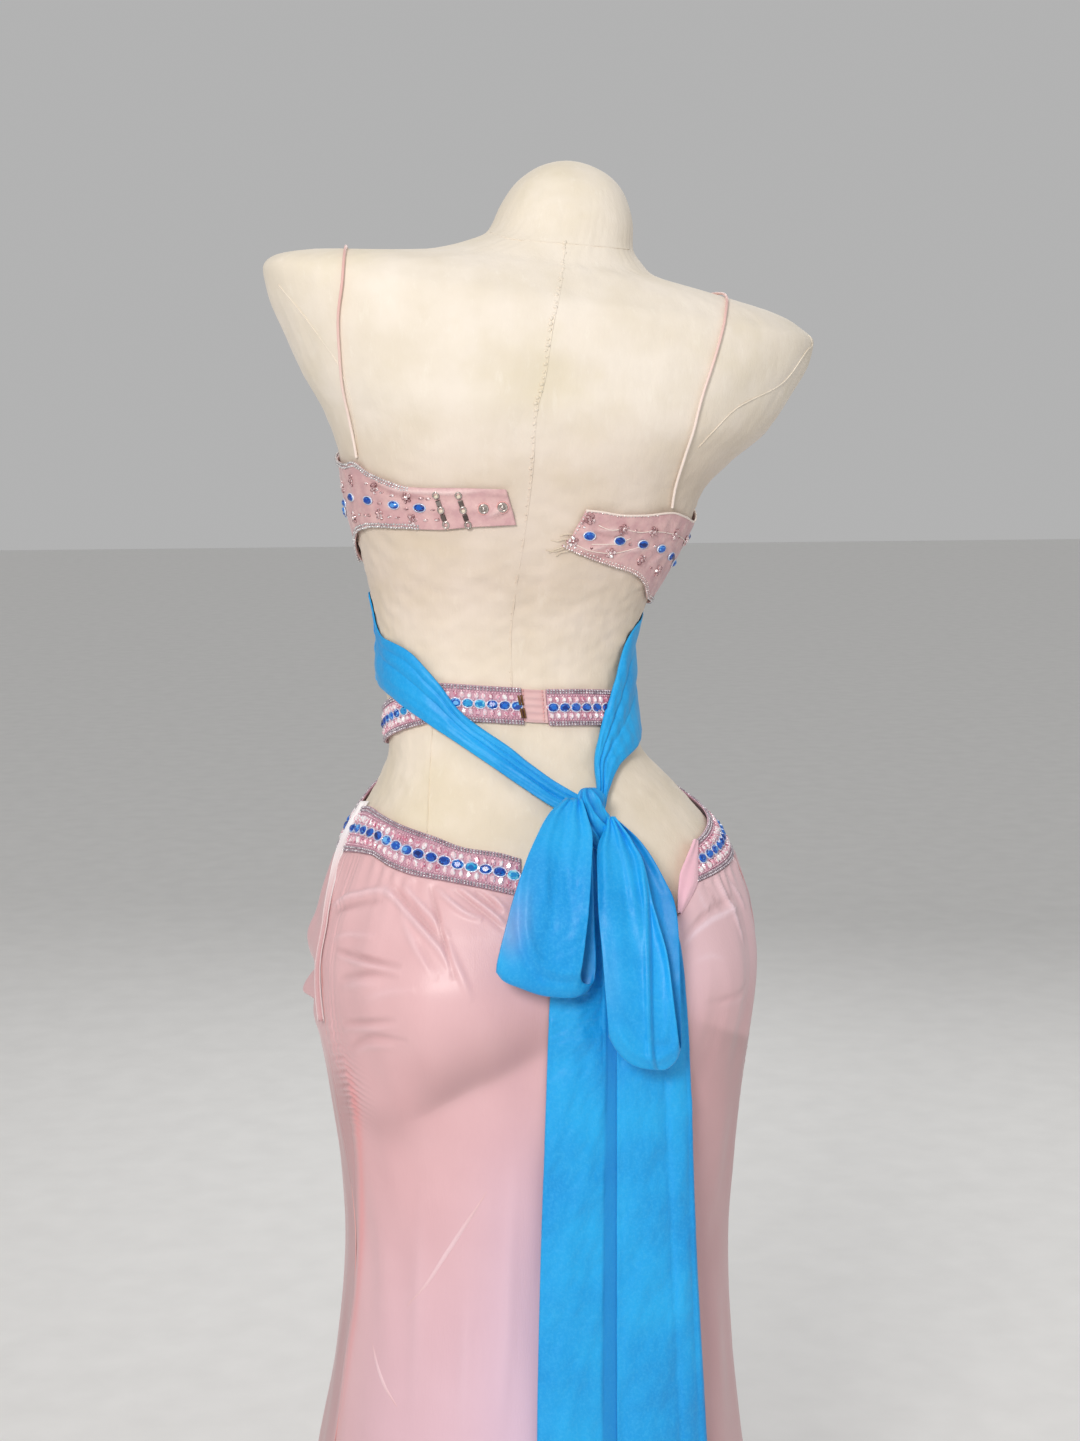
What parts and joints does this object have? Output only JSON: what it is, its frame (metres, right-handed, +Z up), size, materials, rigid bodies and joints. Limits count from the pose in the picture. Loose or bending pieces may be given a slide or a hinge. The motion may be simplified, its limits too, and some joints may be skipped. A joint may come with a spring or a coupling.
{
  "type": "mermaid prom dress on a limbless dress form",
  "caption": "Open-back pink mermaid gown with beaded bands and a blue tied sash, worn by a cream limbless dress form on a pole stand.",
  "frame": {"origin": "centre of the stand's base plate, on its underside", "axes": "+Z up, the back of the gown faces -Y, +X to the viewer's right when looking at the back"},
  "size_m": [0.653, 0.6426, 1.5175],
  "materials": {
    "cream_cover": "matte cotton jersey",
    "stand_steel": "satin",
    "pink_satin": "satin",
    "beaded_band": "beaded satin",
    "pink_elastic": "matte",
    "facing_pink": "satin",
    "sash_blue": "soft sheen",
    "ribbon_white": "satin"
  },
  "bodies": {
    "root": {"form_torso": "cream_cover", "stand_pole": "stand_steel", "stand_base": "stand_steel", "wing_left": "pink_satin", "wing_right": "pink_satin", "cup_left": "pink_satin", "cup_right": "pink_satin", "strap_left": "pink_satin", "strap_right": "pink_satin", "midriff_front": "pink_satin", "waist_band_left": "beaded_band", "waist_band_right": "beaded_band", "waist_closure": "pink_elastic", "hip_band_left": "beaded_band", "hip_band_right": "beaded_band", "skirt_front": "pink_satin", "skirt_back_left": "pink_satin", "skirt_back_right": "pink_satin", "back_facing_right": "facing_pink", "sash_front": "sash_blue", "sash_left": "sash_blue", "sash_right": "sash_blue", "sash_knot": "sash_blue", "bow_loop_left": "sash_blue", "bow_loop_right": "sash_blue", "sash_tail_left": "sash_blue", "sash_tail_right": "sash_blue", "hanger_ribbon": "ribbon_white"}
  },
  "joints": []
}
